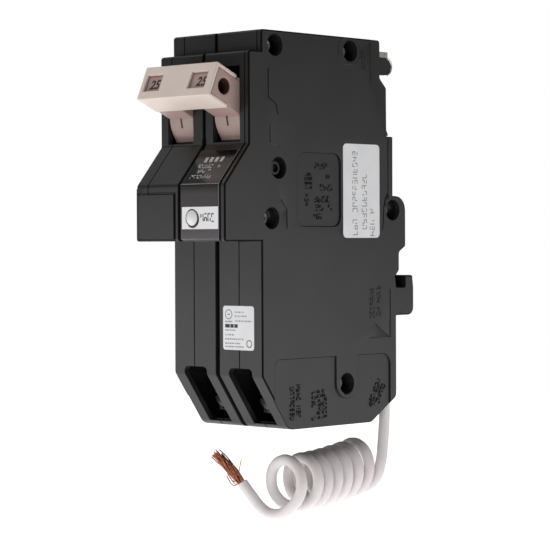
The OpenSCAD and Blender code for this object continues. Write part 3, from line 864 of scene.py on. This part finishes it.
def make_button_shadow():
    """Painted shadow in the hole round the test button: a dark crescent sheet clear of the button,
    widest at its lower right.
    """
    bm = bmesh.new()
    shift_x, shift_z = HOLE_SHIFT
    back = CRESCENT_FRONT + INK
    loops = []
    for depth, outer in ((back, False), (back, True), (CRESCENT_FRONT, True),
                         (CRESCENT_FRONT, False)):
        loop = []
        for k in range(CRESCENT_STEPS):
            a = math.tau * k / CRESCENT_STEPS
            along = shift_x * math.cos(a) + shift_z * math.sin(a)
            off = shift_x * math.sin(a) - shift_z * math.cos(a)
            reach = along + math.sqrt(HOLE_EDGE_R ** 2 - off ** 2)
            r = max(BUTTON_CLEAR_R + 0.02, reach) if outer else BUTTON_CLEAR_R
            loop.append(
                bm.verts.new(P(BUTTON[0] + r * math.cos(a), depth, BUTTON[1] + r * math.sin(a)))
            )
        loops.append(loop)
    bridge(bm, loops, closed=True)
    bmesh.ops.recalc_face_normals(bm, faces=bm.faces)
    # The crescent is a painted shadow, in the dark ink.
    finish_piece(mesh_object("test_button_hole_painted_shadow", bm), "label_paper", DARK_PRINT_AND_SHADOW)


make_front_label()
make_side_label_print()
make_face_print()
make_button_shadow()


# ---------- handles ----------


def handle_point(x, along, across):
    """A point of the handle frame: along is out on the stick, across is upwards."""
    c, s = math.cos(ON_TILT), math.sin(ON_TILT)
    return P(x, AXLE[0] - along * c + across * s, AXLE[1] + along * s + across * c)


mounts = {mount["name"]: mount for mount in frame["record"]["mounts"]}
PIN_HOLE_AT = Vector(mounts["right_pin_hole"]["pos_m"])
PIN_HOLE_REACH = 2.6
BARREL_R = 11.1
ON_MARK_TURN = math.radians(-35)
WINDOW_DEPTH = 23.24
NUMERAL_SIZE = 4.1


def make_handles():
    for node in ("left_handle", "right_handle"):
        handle = bevelled(node, node + "_moulded", 0.35, same_weight, 3)
        finish_piece(handle, "handle_plastic", PINK, "handles", (node,))
        # The faces in the pin bore get the dark brown painted shade.
        handle.data.materials.append(PIN_HOLE)
        for poly in handle.data.polygons:
            away = (poly.center - PIN_HOLE_AT).yz.length
            if abs(poly.normal.x) < 0.3 and away < PIN_HOLE_REACH * MM:
                poly.material_index = 1
    tie = bevelled("handle_tie_bar", "handle_tie_bar_moulded", 0.3, same_weight, 3)
    finish_piece(tie, "handle_plastic", body="handles", replaced=("handle_tie_bar",))


def make_numerals():
    """The current rating behind each window of the tie bar."""
    out = (handle_point(0, 1, 0) - handle_point(0, 0, 0)).normalized()
    up = (handle_point(0, 0, 1) - handle_point(0, 0, 0)).normalized()
    right = Vector((1, 0, 0))
    for name, x in (("left_rating_numeral", -10.8), ("right_rating_numeral", 9.3)):
        text = bpy.data.curves.new(name, "FONT")
        text.body = "25"
        text.size = NUMERAL_SIZE * MM
        text.shear = 0.15
        text.align_x = "CENTER"
        text.align_y = "CENTER"
        text.extrude = 0.04 * MM
        text.offset = 0.09 * MM
        label = add_object(name, text)
        turn = Matrix((right, up, out)).transposed().to_4x4()
        label.matrix_world = Matrix.Translation(handle_point(x, WINDOW_DEPTH, -0.3)) @ turn
        finish_piece(label, "handle_plastic", DARK_PRINT_AND_SHADOW, "handles")


def make_on_marks():
    """A plain bar on each barrel, the usual sign for on."""
    bm = bmesh.new()
    angle = ON_MARK_TURN
    for x in (-10.2, 9.55):
        centre = handle_point(x, BARREL_R * math.cos(angle), BARREL_R * math.sin(angle))
        tangent = (
            handle_point(x, -math.sin(angle), math.cos(angle)) - handle_point(x, 0, 0)
        ).normalized()
        add_bar(bm, centre, Vector((1, 0, 0)), tangent, 0.35 * MM, 1.5 * MM, 0.05 * MM)
    marks = mesh_object("handle_on_marks", bm)
    finish_piece(marks, "handle_plastic", DARK_PRINT_AND_SHADOW, "handles")


make_handles()
make_numerals()
make_on_marks()


# ---------- floor and lights ----------

FLOOR_R = 0.6
FLOOR_GLOW = 1.0
TOWARDS_CAMERA = (0.689, -0.7245, 0.015)
ROOM = 0.30
ROOM_DARK = 0.02
BELOW = 0.8
ABOVE = 0.5


def make_floor():
    bm = bmesh.new()
    bmesh.ops.create_circle(bm, cap_ends=True, segments=128, radius=FLOOR_R)
    floor = mesh_object("floor", bm)
    floor.location = (0, -0.02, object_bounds()[0].z - 0.003)
    mat = bpy.data.materials.new("floor_white")
    mat.use_nodes = True
    tree = mat.node_tree
    shader = tree.nodes["Principled BSDF"]
    coords = tree.nodes.new("ShaderNodeTexCoord")
    mottling = noise(tree, coords, 6)
    tree.links.new(ramp(tree, mottling, 0.55, 0.65).outputs[0], shader.inputs["Roughness"])
    shader.inputs["Base Color"].default_value = (0.86, 0.86, 0.86, 1)
    shader.inputs["Emission Color"].default_value = (1, 1, 1, 1)
    shader.inputs["Emission Strength"].default_value = FLOOR_GLOW
    floor.data.materials.append(mat)


def map_range(node, from_min, from_max, to_min, to_max):
    keys = ("From Min", "From Max", "To Min", "To Max")
    for key, value in zip(keys, (from_min, from_max, to_min, to_max)):
        node.inputs[key].default_value = value


def make_world():
    """A pale room with a dark side in front: white where it is looked at directly."""
    world = bpy.data.worlds.new("studio")
    bpy.context.scene.world = world
    world.use_nodes = True
    tree = world.node_tree
    tree.nodes.clear()
    out = tree.nodes.new("ShaderNodeOutputWorld")
    seen = tree.nodes.new("ShaderNodeBackground")
    seen.inputs["Strength"].default_value = 1.0
    lit = tree.nodes.new("ShaderNodeBackground")
    coords = tree.nodes.new("ShaderNodeTexCoord")
    facing = tree.nodes.new("ShaderNodeVectorMath")
    facing.operation = "DOT_PRODUCT"
    facing.inputs[1].default_value = TOWARDS_CAMERA
    link(tree, coords, "Generated", facing, 0)
    dark_side = tree.nodes.new("ShaderNodeMapRange")
    dark_side.interpolation_type = "SMOOTHSTEP"
    map_range(dark_side, 0.25, 0.85, ROOM, ROOM_DARK)
    link(tree, facing, "Value", dark_side, "Value")
    split = tree.nodes.new("ShaderNodeSeparateXYZ")
    link(tree, coords, "Generated", split, 0)
    height = tree.nodes.new("ShaderNodeMapRange")
    map_range(height, -0.6, 0.8, BELOW, ABOVE)
    link(tree, split, "Z", height, "Value")
    strength = tree.nodes.new("ShaderNodeMath")
    strength.operation = "MULTIPLY"
    tree.links.new(dark_side.outputs[0], strength.inputs[0])
    tree.links.new(height.outputs[0], strength.inputs[1])
    tree.links.new(strength.outputs[0], lit.inputs["Strength"])
    path = tree.nodes.new("ShaderNodeLightPath")
    mix = tree.nodes.new("ShaderNodeMixShader")
    link(tree, path, "Is Camera Ray", mix, "Fac")
    tree.links.new(lit.outputs[0], mix.inputs[1])
    tree.links.new(seen.outputs[0], mix.inputs[2])
    tree.links.new(mix.outputs[0], out.inputs["Surface"])
    for background in (seen, lit):
        background.inputs["Color"].default_value = (1, 1, 1, 1)


def soft_light(name, direction, distance, size, power):
    """A rectangular lamp that faces the middle of the case from a direction."""
    data = bpy.data.lights.new(name, "AREA")
    data.shape = "RECTANGLE"
    data.size, data.size_y = size
    data.energy = power
    lamp = add_object(name, data)
    away = Vector(direction).normalized()
    lamp.location = P(0, 25, 0) + away * distance
    lamp.rotation_mode = "QUATERNION"
    lamp.rotation_quaternion = away.to_track_quat("Z", "Y")


make_floor()
make_world()
soft_light("left_softbox", (-0.69, -0.72, -0.26), 0.42, (0.26, 0.22), 0.4)
soft_light("right_softbox", (0.84, 0.48, -0.20), 0.6, (0.36, 0.30), 0.98)
soft_light("top_softbox", (-0.40, -0.30, 0.85), 1.0, (0.6, 0.6), 1.7)
soft_light("key_softbox", (0.35, -0.9, 0.75), 0.9, (0.35, 0.35), 1.6)
bpy.context.scene.view_settings.view_transform = "Standard"

print("pigtail length", round(pigtail_length, 5))
